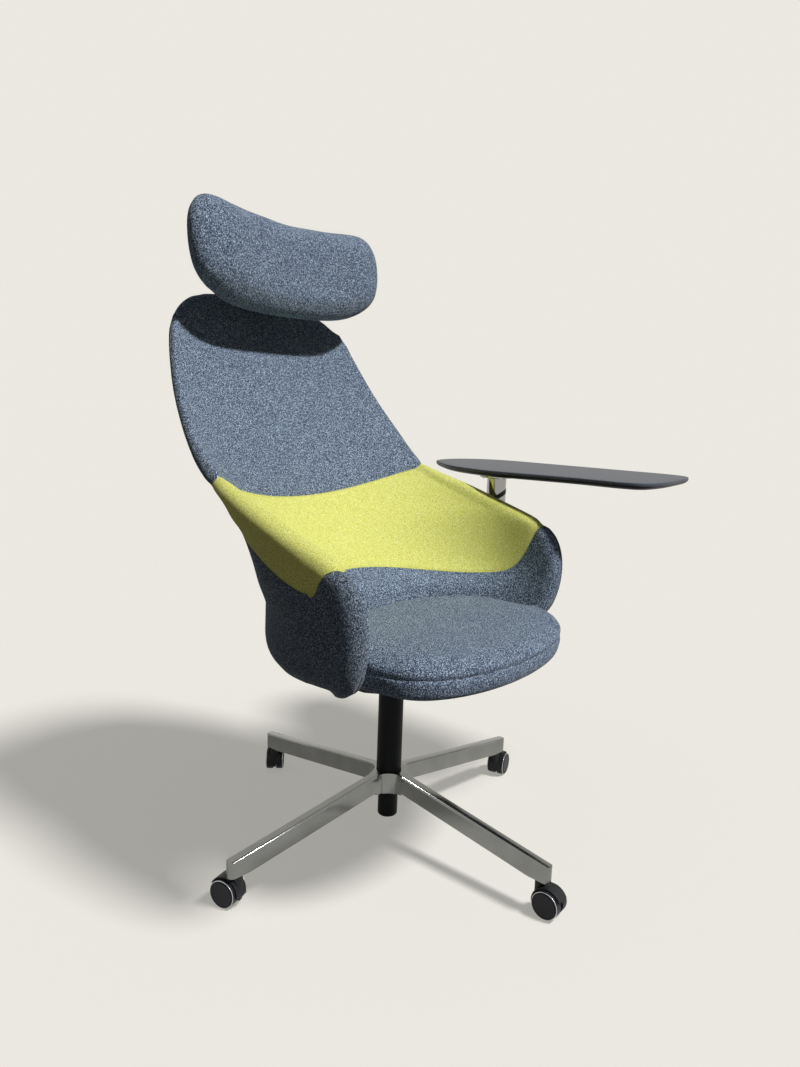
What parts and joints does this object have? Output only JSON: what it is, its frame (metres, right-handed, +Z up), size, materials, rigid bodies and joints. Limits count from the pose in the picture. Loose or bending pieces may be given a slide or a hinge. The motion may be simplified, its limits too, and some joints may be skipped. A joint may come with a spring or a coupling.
{
  "type": "task chair with writing tablet",
  "caption": "Swivel task chair with an upholstered wrap-around shell, headrest, height lift, castors and a swivelling writing tablet on a side post.",
  "frame": {"origin": "on the floor under the middle of the column", "axes": "+Z up, -Y the way the sitter faces, +X the sitter's left, where the tablet is"},
  "size_m": [1.0635, 0.8422, 1.2339],
  "materials": {
    "polished_aluminium": "polished casting",
    "black_steel": "satin black powder coat",
    "zinc_steel": "zinc plated",
    "post_chrome": "bright chrome",
    "black_plastic": "moulded black nylon",
    "bearing_plastic": "moulded acetal",
    "shell_plastic": "moulded core",
    "blue_grey_wool": "heathered wool over foam",
    "dark_grey_wool": "heathered wool over foam",
    "lime_wool": "heathered wool over foam",
    "slate_laminate": "smooth slate grey top with a near black edge"
  },
  "bodies": {
    "base": {"base_star": "polished_aluminium", "column_tube": "black_steel", "guide_bush": "bearing_plastic", "stem_1": "zinc_steel", "stem_2": "zinc_steel", "stem_3": "zinc_steel", "stem_4": "zinc_steel"},
    "lift_rod": {"piston_rod": "zinc_steel", "thrust_bearing": "zinc_steel", "retaining_clip": "zinc_steel"},
    "seat": {"gas_cylinder": "black_steel", "seat_plate": "black_steel", "plate_bolts": "zinc_steel", "lever_bracket": "black_plastic", "seat_pan": "black_plastic", "seat_cushion": "blue_grey_wool", "shell_core": "shell_plastic", "back_pad": "blue_grey_wool", "band_panel": "lime_wool", "lower_pad": "blue_grey_wool", "outer_cover": "dark_grey_wool", "headrest_bracket": "black_steel", "headrest_screws": "zinc_steel", "headrest_plate": "black_steel", "headrest_cushion": "blue_grey_wool", "tablet_bracket": "black_steel", "bracket_screws": "zinc_steel", "tablet_post": "post_chrome", "slant_ring": "black_plastic", "tablet_head": "post_chrome", "swivel_washer": "black_plastic"},
    "lever": {"height_lever": "black_plastic"},
    "tablet": {"swivel_plate": "black_steel", "tablet_screws": "zinc_steel", "tablet_top": "slate_laminate"},
    "caster_1": {"caster_hood_1": "black_plastic", "axle_1": "zinc_steel"},
    "wheel_1_left": {"wheel_1_left": "black_plastic"},
    "wheel_1_right": {"wheel_1_right": "black_plastic"},
    "caster_2": {"caster_hood_2": "black_plastic", "axle_2": "zinc_steel"},
    "wheel_2_left": {"wheel_2_left": "black_plastic"},
    "wheel_2_right": {"wheel_2_right": "black_plastic"},
    "caster_3": {"caster_hood_3": "black_plastic", "axle_3": "zinc_steel"},
    "wheel_3_left": {"wheel_3_left": "black_plastic"},
    "wheel_3_right": {"wheel_3_right": "black_plastic"},
    "caster_4": {"caster_hood_4": "black_plastic", "axle_4": "zinc_steel"},
    "wheel_4_left": {"wheel_4_left": "black_plastic"},
    "wheel_4_right": {"wheel_4_right": "black_plastic"}
  },
  "joints": [
    {"name": "seat_swivel", "type": "hinge", "parent": "base", "child": "lift_rod", "pos_m": [0, 0, 0.06], "axis": [0, 0, 1], "continuous": true},
    {"name": "seat_height", "type": "slide", "parent": "lift_rod", "child": "seat", "axis": [0, 0, 1], "range_m": [0, 0.1]},
    {"name": "lever_lift", "type": "hinge", "parent": "seat", "child": "lever", "pos_m": [0.12, -0.0532, 0.37174], "axis": [1, 0, 0], "range_deg": [-12, 0], "stiffness_Nm_per_rad": 1, "springref_deg": 2.86},
    {"name": "tablet_swivel", "type": "hinge", "parent": "seat", "child": "tablet", "pos_m": [0.387, 0.002, 0.705], "axis": [0, 0, 1], "range_deg": [-90, 10]},
    {"name": "caster_swivel_1", "type": "hinge", "parent": "base", "child": "caster_1", "pos_m": [-0.36704, 0.04669, 0.05], "axis": [0, 0, 1], "continuous": true},
    {"name": "wheel_spin_1_left", "type": "hinge", "parent": "caster_1", "child": "wheel_1_left", "pos_m": [-0.37051, 0.06639, 0.025], "axis": [0.9848, 0.1736, 0], "continuous": true},
    {"name": "wheel_spin_1_right", "type": "hinge", "parent": "caster_1", "child": "wheel_1_right", "pos_m": [-0.37051, 0.06639, 0.025], "axis": [0.9848, 0.1736, 0], "continuous": true},
    {"name": "caster_swivel_2", "type": "hinge", "parent": "base", "child": "caster_2", "pos_m": [-0.04669, -0.36704, 0.05], "axis": [0, 0, 1], "continuous": true},
    {"name": "wheel_spin_2_left", "type": "hinge", "parent": "caster_2", "child": "wheel_2_left", "pos_m": [-0.04739, -0.38703, 0.025], "axis": [-0.9994, 0.0349, 0], "continuous": true},
    {"name": "wheel_spin_2_right", "type": "hinge", "parent": "caster_2", "child": "wheel_2_right", "pos_m": [-0.04739, -0.38703, 0.025], "axis": [-0.9994, 0.0349, 0], "continuous": true},
    {"name": "caster_swivel_3", "type": "hinge", "parent": "base", "child": "caster_3", "pos_m": [0.36704, -0.04669, 0.05], "axis": [0, 0, 1], "continuous": true},
    {"name": "wheel_spin_3_left", "type": "hinge", "parent": "caster_3", "child": "wheel_3_left", "pos_m": [0.38674, -0.04322, 0.025], "axis": [0.1736, -0.9848, 0], "continuous": true},
    {"name": "wheel_spin_3_right", "type": "hinge", "parent": "caster_3", "child": "wheel_3_right", "pos_m": [0.38674, -0.04322, 0.025], "axis": [0.1736, -0.9848, 0], "continuous": true},
    {"name": "caster_swivel_4", "type": "hinge", "parent": "base", "child": "caster_4", "pos_m": [0.04669, 0.36704, 0.05], "axis": [0, 0, 1], "continuous": true},
    {"name": "wheel_spin_4_left", "type": "hinge", "parent": "caster_4", "child": "wheel_4_left", "pos_m": [0.06202, 0.3799, 0.025], "axis": [0.6428, -0.766, 0], "continuous": true},
    {"name": "wheel_spin_4_right", "type": "hinge", "parent": "caster_4", "child": "wheel_4_right", "pos_m": [0.06202, 0.3799, 0.025], "axis": [0.6428, -0.766, 0], "continuous": true}
  ]
}
